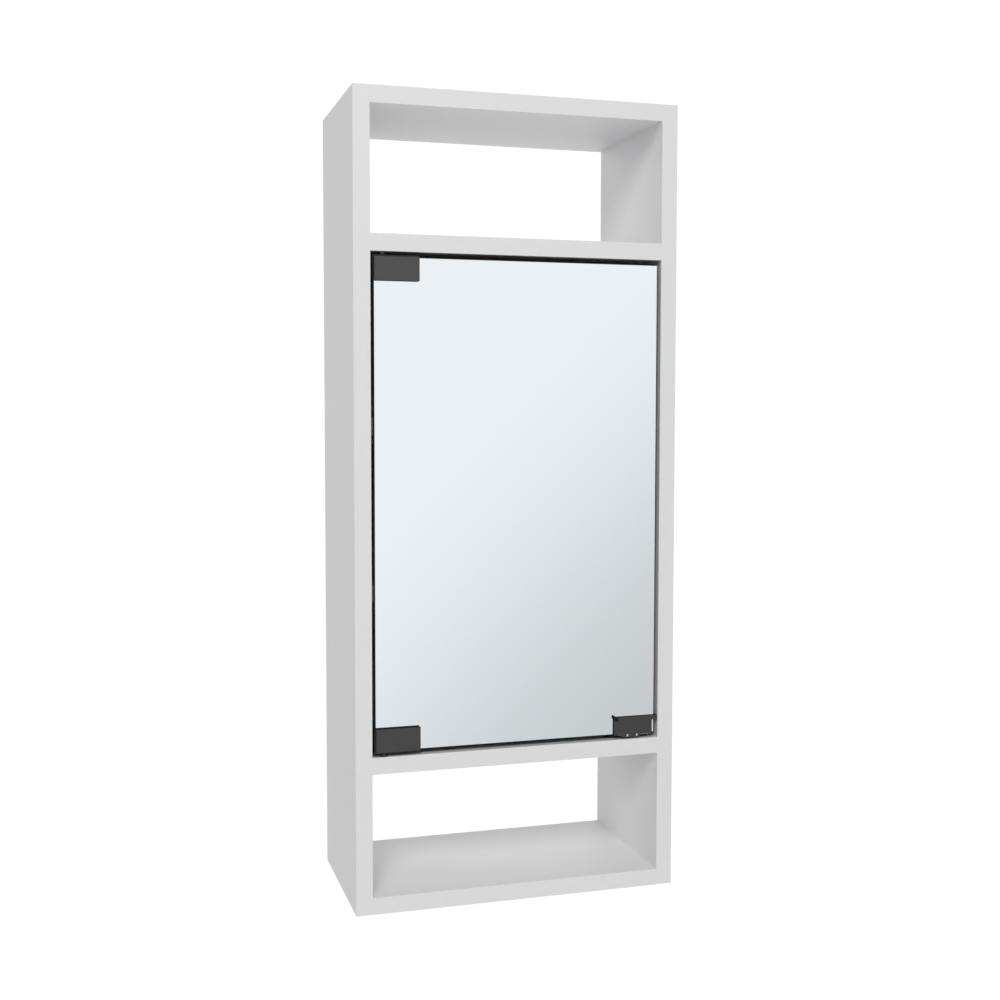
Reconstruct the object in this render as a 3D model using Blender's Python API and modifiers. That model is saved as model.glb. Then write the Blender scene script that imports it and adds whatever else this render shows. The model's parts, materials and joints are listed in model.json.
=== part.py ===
"""Hanging wall cabinet: an open niche above and below a shelved compartment with a mirror glass door.

Frame: +Z up, the front faces -Y and the wall is the plane Y = 0. The origin is on the wall, midway
between the two hanging screws, at the middle of the upper divider's back edge. Units are metres.
"""

import math

import bmesh
import bpy

MM = 0.001

# Driving dimensions of the carcass
WIDTH = 300 * MM
HEIGHT = 720 * MM
DEPTH = 150 * MM
BOARD = 15 * MM
NICHE = 110 * MM  # clear height of each open niche
JOINT_GAP = 0.2 * MM  # between two boards that butt
GAP = 0.3 * MM  # between two other pieces that touch

# Back panel, held in a stopped groove
BACK_PANEL = 3 * MM
BACK_INSET = 10 * MM  # from the wall to the panel's rear face
GROOVE_DEPTH = 6 * MM

# Loose shelves and the pins that carry them
SHELF_HEIGHTS = (133.5 * MM, 281.5 * MM)  # undersides, above the compartment's floor
SHELF_SETBACK = 25 * MM
SHELF_SIDE_GAP = 1 * MM
SUPPORT_FRONT = 37 * MM  # pin axis behind the front edge
SUPPORT_BACK = 112 * MM
SUPPORT_PIN_RADIUS = 2.5 * MM
SUPPORT_PIN_LENGTH = 8 * MM
SUPPORT_REACH = 12 * MM
SUPPORT_WIDTH = 10 * MM
SUPPORT_TALL = 9.5 * MM
SUPPORT_TIP = 6.5 * MM

# Cam and bolt at each board joint
CAM_RADIUS = 7.5 * MM
CAM_TALL = 12 * MM
CAM_INSET = 24 * MM  # cam axis from the board's end
CAM_SLOT = 7.4 * MM
CAM_SLOT_PAST_AXIS = 4 * MM
CAM_DRIVE_WIDTH = 1.4 * MM
CAM_DRIVE_LENGTH = 9 * MM
CAM_DRIVE_DEPTH = 1.6 * MM
BOLT_THREAD_RADIUS = 3 * MM
BOLT_THREAD_LENGTH = 11 * MM
BOLT_COLLAR_RADIUS = 3.4 * MM
BOLT_COLLAR_LENGTH = 4 * MM
BOLT_NECK_RADIUS = 2 * MM
BOLT_HEAD_RADIUS = 3 * MM
BOLT_HEAD_LENGTH = 3 * MM

# Mirror glass door
GLASS = 4 * MM
GLASS_RECESS = 2 * MM  # glass face behind the carcass's front edges
GLASS_SIDE_GAP = 2.6 * MM
GLASS_END_GAP = 4.2 * MM
GLASS_ARRIS = 0.9 * MM
HINGE_AXIS_FROM_GLASS_EDGE = 8.4 * MM

# Pivot clamps at the glass's hinge-side corners
CLAMP_WIDTH = 41.5 * MM
CLAMP_TALL = 22.2 * MM
CLAMP_PAST_GLASS_END = 1.3 * MM
CLAMP_PAST_GLASS_SIDE = 1 * MM
CLAMP_THICK = 11 * MM
CLAMP_WALL = 2.1 * MM
CLAMP_CHAMFER = 1.8 * MM  # along the two sides that are closed round the glass
PAD = 0.8 * MM
PAD_MARGIN = 0.8 * MM
GRUB_RADIUS = 2.3 * MM
GRUB_SOCKET_RADIUS = 1.3 * MM
GRUB_SOCKET_DEPTH = 1.2 * MM
PIN_SPIGOT_RADIUS = 1.4 * MM
PIN_SPIGOT_LENGTH = 0.6 * MM
PIN_SHOULDER_RADIUS = 3 * MM
PIN_SHOULDER = 0.8 * MM
PIN_RADIUS = 1.75 * MM
PIN_LENGTH = 9 * MM
PIN_POINT = 0.6 * MM
BUSH_BORE_RADIUS = 1.85 * MM
BUSH_RADIUS = 2.7 * MM
BUSH_FLANGE_RADIUS = 3.6 * MM
BUSH_FLANGE = 1.4 * MM
BUSH_LENGTH = 9.3 * MM
BUSH_END_WALL = 1 * MM
STACK_GAP = 0.2 * MM  # between clamp, pin shoulder and bush flange

# Finger pull clamped on the glass's lower free corner
PULL_WIDTH = 37.7 * MM
PULL_TALL = 16.9 * MM
PULL_THICK = 1.4 * MM
PULL_FROM_GLASS_EDGE = 3 * MM
PULL_BELOW_GLASS = 0.2 * MM
FINGER_TAB_REACH = 6.4 * MM  # stands out from the plate near its upper free corner
FINGER_TAB_INSET = 1.5 * MM
FINGER_TAB_TALL = 3 * MM
TAB_FROM_PULL_RIGHT = 30.3 * MM  # left side of the bottom tab, and of the strike behind it
TAB_WIDTH = 18.3 * MM
TAB_DROP = 1.9 * MM
EAR_TALL = 4.2 * MM
EAR_THICK = 1.8 * MM
STRIKE_THICK = 1.3 * MM
STRIKE_TALL = 14.9 * MM  # above the glass's lower end
CLIP_SCREW_PITCH = 9.2 * MM
CLIP_SCREW_SHIFT = 1.4 * MM  # middle of the two screws, right of the tab's middle
CLIP_SCREW_DROP = 0.55 * MM  # screw axis below the glass's lower end
CLIP_SCREW_RADIUS = 0.4 * MM
CLIP_SCREW_HEAD_RADIUS = 1.05 * MM
CLIP_SCREW_HEAD = 0.7 * MM
CLIP_SCREW_RIM = 0.3 * MM  # straight rim below the head's bevel
CLIP_SCREW_FACE_RADIUS = 0.75 * MM
CLIP_SCREW_DOME = 0.15 * MM

# Magnetic catch on the compartment's floor
CATCH_BLOCK_WIDTH = 20 * MM
CATCH_BLOCK_TALL = 17 * MM
CATCH_DEPTH = 15 * MM
CATCH_EAR = 9 * MM
CATCH_EAR_THICK = 3 * MM
MAGNET_SIZE = (14.4 * MM, 6 * MM, 10 * MM)
MAGNET_ABOVE_BASE = 5 * MM
MAGNET_PROUD = 0.4 * MM

# Keyhole hanger plates let into the side panels' back edges
HANGER_WIDTH = 12 * MM
HANGER_TALL = 52 * MM
HANGER_THICK = 2 * MM
KEYHOLE_RADIUS = 4.75 * MM
KEYHOLE_SLOT_RADIUS = 2.4 * MM
KEYHOLE_DROP = 10 * MM  # entry hole below the slot's end
HEAD_POCKET_WIDTH = 10.4 * MM
HEAD_POCKET_DEPTH = 8 * MM
HANGER_SCREW_OFFSET = 20 * MM
HANGER_SCREW_RISE = 3 * MM  # plate's middle below the hanging point

# Wood screws of the catch and the hanger plates
WOOD_SCREW_RADIUS = 1.4 * MM
WOOD_SCREW_HEAD_RADIUS = 2.7 * MM
WOOD_SCREW_HEAD = 1.4 * MM
WOOD_SCREW_RIM = 0.7 * MM  # straight rim below the head's bevel
WOOD_SCREW_FACE_RADIUS = 1.9 * MM
WOOD_SCREW_LENGTH = 12 * MM
WOOD_SCREW_POINT = 2.8 * MM
SINK_DEPTH = 1.5 * MM  # of a countersunk head

ROUND = 24  # sides of a round piece
ROUND_SMALL = 12
CUT_PAST = 2 * MM  # how far a cutter runs past the face it enters
WELD = 0.01 * MM  # points closer than this are one
SHARP_ANGLE = math.radians(40)

# Levels, worked out from the driving dimensions
CARCASS_BOTTOM = -(HEIGHT - 1.5 * BOARD - NICHE)
CARCASS_TOP = CARCASS_BOTTOM + HEIGHT
COMPARTMENT_FLOOR = CARCASS_BOTTOM + 2 * BOARD + NICHE
COMPARTMENT_CEILING = CARCASS_TOP - 2 * BOARD - NICHE
COMPARTMENT_MIDDLE = (COMPARTMENT_FLOOR + COMPARTMENT_CEILING) / 2
INNER_SIDE = WIDTH / 2 - BOARD
FRONT = -DEPTH
BACK_PANEL_Y = -BACK_INSET - BACK_PANEL / 2

GLASS_FRONT = FRONT + GLASS_RECESS
GLASS_BACK = GLASS_FRONT + GLASS
GLASS_MIDDLE = (GLASS_FRONT + GLASS_BACK) / 2
GLASS_SIDE = INNER_SIDE - GLASS_SIDE_GAP
GLASS_BOTTOM = COMPARTMENT_FLOOR + GLASS_END_GAP
GLASS_TOP = COMPARTMENT_CEILING - GLASS_END_GAP
HINGE_X = -GLASS_SIDE + HINGE_AXIS_FROM_GLASS_EDGE

CLAMP_FRONT = GLASS_MIDDLE - CLAMP_THICK / 2
CLAMP_BACK = GLASS_MIDDLE + CLAMP_THICK / 2
CLAMP_LEFT = -GLASS_SIDE - CLAMP_PAST_GLASS_SIDE

PULL_RIGHT = GLASS_SIDE - PULL_FROM_GLASS_EDGE
PULL_LEFT = PULL_RIGHT - PULL_WIDTH
PULL_BACK = GLASS_FRONT - GAP
PULL_FRONT = PULL_BACK - PULL_THICK
PULL_BOTTOM = GLASS_BOTTOM - PULL_BELOW_GLASS
PULL_TOP = PULL_BOTTOM + PULL_TALL
TAB_LEFT = PULL_RIGHT - TAB_FROM_PULL_RIGHT
TAB_MIDDLE = TAB_LEFT + TAB_WIDTH / 2
STRIKE_FRONT = GLASS_BACK + GAP
STRIKE_BACK = STRIKE_FRONT + STRIKE_THICK
CATCH_FRONT = STRIKE_BACK + GAP + MAGNET_PROUD

MATERIALS = {
    "white_board": ((0.72, 0.73, 0.74), 0.45, 0.0),
    "mirror_glass": ((0.86, 0.92, 0.94), 0.03, 1.0),
    "black_metal": ((0.045, 0.045, 0.048), 0.42, 0.6),
    "pad_rubber": ((0.02, 0.02, 0.02), 0.7, 0.0),
    "zinc_steel": ((0.62, 0.62, 0.6), 0.32, 1.0),
    "black_nylon": ((0.03, 0.03, 0.032), 0.5, 0.0),
    "magnet_ferrite": ((0.06, 0.06, 0.065), 0.6, 0.2),
}


# ---------------------------------------------------------------- scene and materials


def clear_scene():
    for item in list(bpy.data.objects):
        bpy.data.objects.remove(item, do_unlink=True)


def new_collection(name):
    collection = bpy.data.collections.new(name)
    bpy.context.scene.collection.children.link(collection)
    return collection


def make_material(name, colour, roughness, metallic):
    material = bpy.data.materials.new(name)
    material.use_nodes = True
    shader = material.node_tree.nodes["Principled BSDF"]
    shader.inputs["Base Color"].default_value = (*colour, 1.0)
    shader.inputs["Roughness"].default_value = roughness
    shader.inputs["Metallic"].default_value = metallic
    material.diffuse_color = (*colour, 1.0)
    return material


clear_scene()
PARTS = new_collection("hanging_wall_cabinet")
CUTTERS = new_collection("cutters")
PALETTE = {name: make_material(name, *values) for name, values in MATERIALS.items()}


# ---------------------------------------------------------------- modelling helpers


def add_object(name, data, place, collection=PARTS, material=None, parent=None):
    """Links a mesh or curve at a place in the cabinet's frame, under an empty where it moves."""
    item = bpy.data.objects.new(name, data)
    collection.objects.link(item)
    item.location = place
    if parent is not None:
        item.parent = parent
        item.location = [a - b for a, b in zip(place, parent.location)]
    if material:
        data.materials.append(PALETTE[material])
    if collection is CUTTERS:
        item.hide_render = True
        item.display_type = "WIRE"
    return item


def block(name, low, high, **options):
    """A box between two corners."""
    size = [b - a for a, b in zip(low, high)]
    middle = [(a + b) / 2 for a, b in zip(low, high)]
    form = bmesh.new()
    bmesh.ops.create_cube(form, size=1)
    bmesh.ops.scale(form, vec=size, verts=form.verts)
    mesh = bpy.data.meshes.new(name)
    form.to_mesh(mesh)
    form.free()
    return add_object(name, mesh, middle, **options)


TURN = {"X": (0, math.pi / 2, 0), "Y": (-math.pi / 2, 0, 0), "Z": (0, 0, 0)}


def rod(name, start, length, radius, axis, sides=ROUND, **options):
    """A cylinder that starts at a point and runs a signed length along an axis."""
    form = bmesh.new()
    bmesh.ops.create_cone(
        form, cap_ends=True, segments=sides, radius1=radius, radius2=radius, depth=abs(length)
    )
    mesh = bpy.data.meshes.new(name)
    form.to_mesh(mesh)
    form.free()
    middle = list(start)
    middle["XYZ".index(axis)] += length / 2
    item = add_object(name, mesh, middle, **options)
    item.rotation_euler = TURN[axis]
    shade(mesh)
    return item


def turned(name, profile, place, rotation, sides=ROUND_SMALL, **options):
    """A turned piece: (radius, height) points from the top down the outer side, about local Z."""
    mesh = bpy.data.meshes.new(name)
    points = [(radius, 0, height) for radius, height in profile]
    mesh.from_pydata(points, [(i, i + 1) for i in range(len(points) - 1)], [])
    item = add_object(name, mesh, place, **options)
    item.rotation_euler = rotation
    screw = item.modifiers.new("turn", "SCREW")
    screw.axis = "Z"
    screw.angle = 2 * math.pi
    screw.steps = screw.render_steps = sides
    screw.use_merge_vertices = True
    screw.merge_threshold = WELD
    screw.use_smooth_shade = False
    return item


def extruded(name, outline, bottom, top, **options):
    """A flat outline in X and Y, filled and carried from one height to another."""
    curve = bpy.data.curves.new(name, "CURVE")
    curve.dimensions = "2D"
    curve.fill_mode = "BOTH"
    curve.extrude = (top - bottom) / 2
    spline = curve.splines.new("POLY")
    spline.points.add(len(outline) - 1)
    for point, (x, y) in zip(spline.points, outline):
        point.co = (x, y, 0, 1)
    spline.use_cyclic_u = True
    return add_object(name, curve, (0, 0, (bottom + top) / 2), **options)


def to_mesh(item):
    """Turns a curve object into a mesh object of the same name, with its caps welded on."""
    evaluated = item.evaluated_get(bpy.context.evaluated_depsgraph_get())
    mesh = bpy.data.meshes.new_from_object(evaluated)
    name, matrix, parent = item.name, item.matrix_world.copy(), item.parent
    home = item.users_collection[0]
    bpy.data.objects.remove(item, do_unlink=True)
    form = bmesh.new()
    form.from_mesh(mesh)
    bmesh.ops.remove_doubles(form, verts=form.verts, dist=WELD)
    bmesh.ops.recalc_face_normals(form, faces=form.faces)
    form.to_mesh(mesh)
    form.free()
    solid = bpy.data.objects.new(name, mesh)
    home.objects.link(solid)
    solid.parent = parent
    solid.matrix_world = matrix
    return solid


def shade(mesh):
    mesh.shade_smooth()
    mesh.set_sharp_from_angle(angle=SHARP_ANGLE)


def boolean(item, cutter, operation="DIFFERENCE"):
    modifier = item.modifiers.new(cutter.name, "BOOLEAN")
    modifier.operation = operation
    modifier.solver = "EXACT"
    modifier.object = cutter


def cut_block(item, name, low, high):
    boolean(item, block(name, low, high, collection=CUTTERS))


def cut_rod(item, name, start, length, radius, axis, sides=ROUND):
    boolean(item, rod(name, start, length, radius, axis, sides, collection=CUTTERS))


def add_block(item, name, low, high):
    boolean(item, block(name, low, high, collection=CUTTERS), "UNION")


def span(middle, width):
    return middle - width / 2, middle + width / 2


# ---------------------------------------------------------------- carcass boards

BOARD_LEVELS = {
    "top_panel": CARCASS_TOP - BOARD / 2,
    "upper_divider": COMPARTMENT_CEILING + BOARD / 2,
    "lower_divider": COMPARTMENT_FLOOR - BOARD / 2,
    "bottom_panel": CARCASS_BOTTOM + BOARD / 2,
}
# The cam sits in the face that is out of sight: +1 is the board's upper face.
CAM_FACE = {"top_panel": 1, "upper_divider": -1, "lower_divider": 1, "bottom_panel": -1}
JOINT_Y = -DEPTH / 2


def side_panel(name, side):
    """A side board; side is -1 for the left and +1 for the right."""
    inner, outer = sorted((side * INNER_SIDE, side * WIDTH / 2))
    panel = block(
        name, (inner, FRONT, CARCASS_BOTTOM), (outer, 0, CARCASS_TOP), material="white_board"
    )
    face = side * INNER_SIDE
    for board, level in BOARD_LEVELS.items():
        start = (face - side * CUT_PAST, JOINT_Y, level)
        reach = side * (CUT_PAST + BOLT_THREAD_LENGTH + GAP)
        cut_rod(panel, f"{name}_{board}_bolt_hole", start, reach, BOLT_THREAD_RADIUS + GAP, "X", ROUND_SMALL)
    for number, (y, z) in enumerate(support_places()):
        start = (face - side * CUT_PAST, y, z)
        reach = side * (CUT_PAST + SUPPORT_PIN_LENGTH + GAP)
        cut_rod(panel, f"{name}_pin_hole_{number}", start, reach, SUPPORT_PIN_RADIUS + GAP, "X", ROUND_SMALL)
    near, far = sorted((face - side * CUT_PAST, face + side * GROOVE_DEPTH))
    cut_block(panel, f"{name}_groove", (near, *groove_low()), (far, *groove_high()))
    cut_hanger_seat(panel, name, side)
    return panel


def groove_low():
    return BACK_PANEL_Y - BACK_PANEL / 2 - GAP, COMPARTMENT_FLOOR - GROOVE_DEPTH


def groove_high():
    return BACK_PANEL_Y + BACK_PANEL / 2 + GAP, COMPARTMENT_CEILING + GROOVE_DEPTH


def cross_board(name):
    """A board between the sides, bored for the cams and bolts at its two ends."""
    level = BOARD_LEVELS[name]
    end = INNER_SIDE - JOINT_GAP
    board = block(
        name,
        (-end, FRONT, level - BOARD / 2),
        (end, 0, level + BOARD / 2),
        material="white_board",
    )
    face = CAM_FACE[name]
    for side, label in ((-1, "left"), (1, "right")):
        bore = (side * (INNER_SIDE + CUT_PAST), JOINT_Y, level)
        reach = -side * (CUT_PAST + CAM_INSET)
        cut_rod(board, f"{name}_{label}_bore", bore, reach, BOLT_COLLAR_RADIUS + GAP, "X", ROUND_SMALL)
        mouth = (side * (end - CAM_INSET), JOINT_Y, level + face * (BOARD / 2 + CUT_PAST))
        reach = -face * (CUT_PAST + CAM_TALL + 2 * GAP)
        cut_rod(board, f"{name}_{label}_cam_bore", mouth, reach, CAM_RADIUS + GAP, "Z")
    return board


def back_panel():
    reach = GROOVE_DEPTH - GAP
    side = INNER_SIDE + reach
    return block(
        "back_panel",
        (-side, BACK_PANEL_Y - BACK_PANEL / 2, COMPARTMENT_FLOOR - reach),
        (side, BACK_PANEL_Y + BACK_PANEL / 2, COMPARTMENT_CEILING + reach),
        material="white_board",
    )


def groove_divider(board):
    """The back panel's groove along the compartment side of a divider."""
    low, high = groove_low(), groove_high()
    wide = INNER_SIDE + CUT_PAST
    if board.name == "upper_divider":
        z_low, z_high = COMPARTMENT_CEILING - CUT_PAST, high[1]
    else:
        z_low, z_high = low[1], COMPARTMENT_FLOOR + CUT_PAST
    cut_block(board, f"{board.name}_groove", (-wide, low[0], z_low), (wide, high[0], z_high))


# ---------------------------------------------------------------- joint fittings


def cam(name, board, side):
    """A cam: a drum with a mouth for the bolt's head and a driver slot in its face."""
    level, face = BOARD_LEVELS[board], CAM_FACE[board]
    x = side * (INNER_SIDE - JOINT_GAP - CAM_INSET)
    rim = level + face * (BOARD / 2 - GAP)
    drum = rod(name, (x, JOINT_Y, rim), -face * CAM_TALL, CAM_RADIUS, "Z", material="zinc_steel")
    past, edge = sorted((x - side * CAM_SLOT_PAST_AXIS, x + side * (CAM_RADIUS + CUT_PAST)))
    y_low, y_high = span(JOINT_Y, CAM_SLOT)
    z_low, z_high = span(level, CAM_SLOT)
    cut_block(drum, f"{name}_mouth", (past, y_low, z_low), (edge, y_high, z_high))
    x_low, x_high = span(x, CAM_DRIVE_LENGTH)
    y_low, y_high = span(JOINT_Y, CAM_DRIVE_WIDTH)
    z_low, z_high = sorted((rim - face * CAM_DRIVE_DEPTH, rim + face * CUT_PAST))
    cut_block(drum, f"{name}_driver_slot", (x_low, y_low, z_low), (x_high, y_high, z_high))


def cam_bolt(name, board, side):
    """A cam bolt: thread in the side panel, collar at the joint, neck and head in the cam."""
    head_end = CAM_INSET + BOLT_HEAD_LENGTH / 2
    head_start = head_end - BOLT_HEAD_LENGTH
    profile = (
        (0, head_end),
        (BOLT_HEAD_RADIUS, head_end),
        (BOLT_HEAD_RADIUS, head_start),
        (BOLT_NECK_RADIUS, head_start),
        (BOLT_NECK_RADIUS, BOLT_COLLAR_LENGTH + GAP),
        (BOLT_COLLAR_RADIUS, BOLT_COLLAR_LENGTH + GAP),
        (BOLT_COLLAR_RADIUS, GAP),
        (BOLT_THREAD_RADIUS, GAP),
        (BOLT_THREAD_RADIUS, -BOLT_THREAD_LENGTH),
        (0, -BOLT_THREAD_LENGTH),
    )
    place = (side * INNER_SIDE, JOINT_Y, BOARD_LEVELS[board])
    turned(name, profile, place, (0, -side * math.pi / 2, 0), material="zinc_steel")


def joint_fittings():
    for board in BOARD_LEVELS:
        short = board.removesuffix("_panel")
        for side, label in ((-1, "left"), (1, "right")):
            cam(f"cam_{short}_{label}", board, side)
            cam_bolt(f"cam_bolt_{short}_{label}", board, side)


# ---------------------------------------------------------------- shelves and their pins


def support_places():
    """(y, z) of the pins on each side: two under each shelf."""
    return [
        (FRONT + behind, COMPARTMENT_FLOOR + height - GAP - SUPPORT_TALL / 2)
        for height in SHELF_HEIGHTS
        for behind in (SUPPORT_FRONT, SUPPORT_BACK)
    ]


def shelf(name, height):
    side = INNER_SIDE - SHELF_SIDE_GAP
    bottom = COMPARTMENT_FLOOR + height
    rear = BACK_PANEL_Y - BACK_PANEL / 2 - SHELF_SIDE_GAP
    block(
        name,
        (-side, FRONT + SHELF_SETBACK, bottom),
        (side, rear, bottom + BOARD),
        material="white_board",
    )


def shelf_support(name, side, y, z):
    """A shelf support: a pin in the side panel and a tapered bracket under the shelf."""
    wall = INNER_SIDE - GAP
    half = SUPPORT_WIDTH / 2
    # The bracket's outline is drawn in X and Z, and stands up once turned about X.
    outline = [
        (side * wall, z - SUPPORT_TALL / 2),
        (side * (wall - SUPPORT_REACH), z + SUPPORT_TALL / 2 - SUPPORT_TIP),
        (side * (wall - SUPPORT_REACH), z + SUPPORT_TALL / 2),
        (side * wall, z + SUPPORT_TALL / 2),
    ]
    bracket = extruded(name, outline, -half, half, material="zinc_steel")
    bracket.rotation_euler = (math.pi / 2, 0, 0)
    bracket.location = (0, y, 0)
    bpy.context.view_layer.update()
    bracket = to_mesh(bracket)
    pin_start = (side * (wall - SUPPORT_REACH / 2), y, z)
    pin_length = side * (SUPPORT_REACH / 2 + GAP + SUPPORT_PIN_LENGTH)
    pin = rod(f"{name}_pin", pin_start, pin_length, SUPPORT_PIN_RADIUS, "X", ROUND_SMALL, collection=CUTTERS)
    boolean(bracket, pin, "UNION")


def shelves():
    shelf("lower_shelf", SHELF_HEIGHTS[0])
    shelf("upper_shelf", SHELF_HEIGHTS[1])
    labels = ("lower_front", "lower_rear", "upper_front", "upper_rear")
    for side, side_label in ((-1, "left"), (1, "right")):
        for label, (y, z) in zip(labels, support_places()):
            shelf_support(f"shelf_support_{label}_{side_label}", side, y, z)


# ---------------------------------------------------------------- door glass and pivot clamps


def mirror_glass(hinge):
    glass = block(
        "mirror_glass",
        (-GLASS_SIDE, GLASS_FRONT, GLASS_BOTTOM),
        (GLASS_SIDE, GLASS_BACK, GLASS_TOP),
        material="mirror_glass",
        parent=hinge,
    )
    arris = glass.modifiers.new("ground_arris", "BEVEL")
    arris.width = GLASS_ARRIS
    arris.segments = 1


def mirrored(end, low, high):
    """Two corners given for the door's top end, moved to the lower end where end is -1."""
    if end > 0:
        return low, high
    middle = 2 * COMPARTMENT_MIDDLE
    return (low[0], low[1], middle - high[2]), (high[0], high[1], middle - low[2])


def end_level(end, z):
    return z if end > 0 else 2 * COMPARTMENT_MIDDLE - z


def chamfer_closed_sides(clamp, end):
    """Chamfers the clamp's front and back edges at its end and its outer side."""
    mesh = clamp.data
    weights = mesh.attributes.new("bevel_weight_edge", "FLOAT", "EDGE")
    for edge in mesh.edges:
        start, finish = (mesh.vertices[index].co for index in edge.vertices)
        along_depth = abs(start.y - finish.y) > WELD
        at_end = min(end * start.z, end * finish.z) > 0
        at_side = max(start.x, finish.x) < 0
        weights.data[edge.index].value = float((at_end or at_side) and not along_depth)
    chamfer = clamp.modifiers.new("edge", "BEVEL")
    chamfer.limit_method = "WEIGHT"
    chamfer.width = CLAMP_CHAMFER
    chamfer.segments = 1


def pivot_clamp(label, end, hinge):
    """The channel that grips a glass corner, its two pads, its grub screw, pivot pin and bush."""
    top = GLASS_TOP + CLAMP_PAST_GLASS_END
    bottom = top - CLAMP_TALL
    right = CLAMP_LEFT + CLAMP_WIDTH
    low, high = mirrored(end, (CLAMP_LEFT, CLAMP_FRONT, bottom), (right, CLAMP_BACK, top))
    clamp = block(f"{label}_hinge_clamp", low, high, material="black_metal", parent=hinge)
    chamfer_closed_sides(clamp, end)
    inside_low = (-GLASS_SIDE - GAP, CLAMP_FRONT + CLAMP_WALL, bottom - CUT_PAST)
    inside_high = (right + CUT_PAST, CLAMP_BACK - CLAMP_WALL, GLASS_TOP + GAP)
    cut_block(clamp, f"{label}_clamp_channel", *mirrored(end, inside_low, inside_high))
    wall_start = (HINGE_X, GLASS_MIDDLE, end_level(end, GLASS_TOP))
    pin_hole = PIN_SPIGOT_RADIUS + GAP / 2
    cut_rod(clamp, f"{label}_pin_hole", wall_start, end * 2 * CLAMP_PAST_GLASS_END, pin_hole, "Z")

    grub_place = ((CLAMP_LEFT + right) / 2, CLAMP_BACK, end_level(end, (top + bottom) / 2))
    back_wall = -(CLAMP_WALL + CUT_PAST)
    entry = (grub_place[0], CLAMP_BACK + CUT_PAST / 2, grub_place[2])
    cut_rod(clamp, f"{label}_grub_hole", entry, back_wall, GRUB_RADIUS + GAP / 2, "Y")
    grub = rod(
        f"{label}_hinge_grub_screw",
        grub_place,
        -(CLAMP_WALL + GAP / 2),
        GRUB_RADIUS,
        "Y",
        material="zinc_steel",
        parent=hinge,
    )
    socket = (grub_place[0], CLAMP_BACK + CUT_PAST, grub_place[2])
    depth = -(CUT_PAST + GRUB_SOCKET_DEPTH)
    cut_rod(grub, f"{label}_grub_socket", socket, depth, GRUB_SOCKET_RADIUS, "Y", sides=6)

    pads = {"front": GLASS_FRONT - GAP - PAD, "back": GLASS_BACK + GAP}
    for face, y in pads.items():
        low, high = mirrored(
            end,
            (-GLASS_SIDE, y, bottom + PAD_MARGIN),
            (right - PAD_MARGIN, y + PAD, GLASS_TOP - GAP),
        )
        block(f"{label}_hinge_{face}_pad", low, high, material="pad_rubber", parent=hinge)

    pivot_pin(label, end, hinge, top)
    pivot_bush(label, end, top)


def pivot_turn(end):
    return (0, 0, 0) if end > 0 else (math.pi, 0, 0)


def pivot_pin(label, end, hinge, clamp_end):
    """The steel pin: a spigot riveted in the clamp, a shoulder, and the journal with a pointed tip."""
    shoulder = STACK_GAP
    journal = shoulder + PIN_SHOULDER
    tip = journal + PIN_LENGTH
    profile = (
        (0, tip),
        (PIN_RADIUS - PIN_POINT, tip),
        (PIN_RADIUS, tip - PIN_POINT),
        (PIN_RADIUS, journal),
        (PIN_SHOULDER_RADIUS, journal),
        (PIN_SHOULDER_RADIUS, shoulder),
        (PIN_SPIGOT_RADIUS, shoulder),
        (PIN_SPIGOT_RADIUS, -PIN_SPIGOT_LENGTH),
        (0, -PIN_SPIGOT_LENGTH),
    )
    place = (HINGE_X, GLASS_MIDDLE, end_level(end, clamp_end))
    turned(
        f"{label}_pivot_pin", profile, place, pivot_turn(end), ROUND, material="black_metal", parent=hinge
    )


def pivot_bush(label, end, clamp_end):
    """The nylon bush in the divider that the pin turns in: flange, sleeve and blind bore."""
    flange = 2 * STACK_GAP + PIN_SHOULDER
    sleeve = flange + BUSH_FLANGE
    closed = sleeve + BUSH_LENGTH
    bore_end = closed - BUSH_END_WALL
    profile = (
        (0, closed),
        (BUSH_RADIUS, closed),
        (BUSH_RADIUS, sleeve),
        (BUSH_FLANGE_RADIUS, sleeve),
        (BUSH_FLANGE_RADIUS, flange),
        (BUSH_BORE_RADIUS, flange),
        (BUSH_BORE_RADIUS, bore_end),
        (0, bore_end),
    )
    place = (HINGE_X, GLASS_MIDDLE, end_level(end, clamp_end))
    turned(f"{label}_pivot_bush", profile, place, pivot_turn(end), ROUND, material="black_nylon")
    board = bpy.data.objects["upper_divider" if end > 0 else "lower_divider"]
    mouth = COMPARTMENT_CEILING - CUT_PAST
    depth = clamp_end + closed + GAP - mouth
    start = (HINGE_X, GLASS_MIDDLE, end_level(end, mouth))
    cut_rod(board, f"{label}_bush_hole", start, end * depth, BUSH_RADIUS + GAP, "Z")


# ---------------------------------------------------------------- finger pull and magnetic catch


def clip_screw_places():
    z = GLASS_BOTTOM - CLIP_SCREW_DROP
    x_low, x_high = span(TAB_MIDDLE + CLIP_SCREW_SHIFT, CLIP_SCREW_PITCH)
    return {"left": (x_low, z), "right": (x_high, z)}


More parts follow.
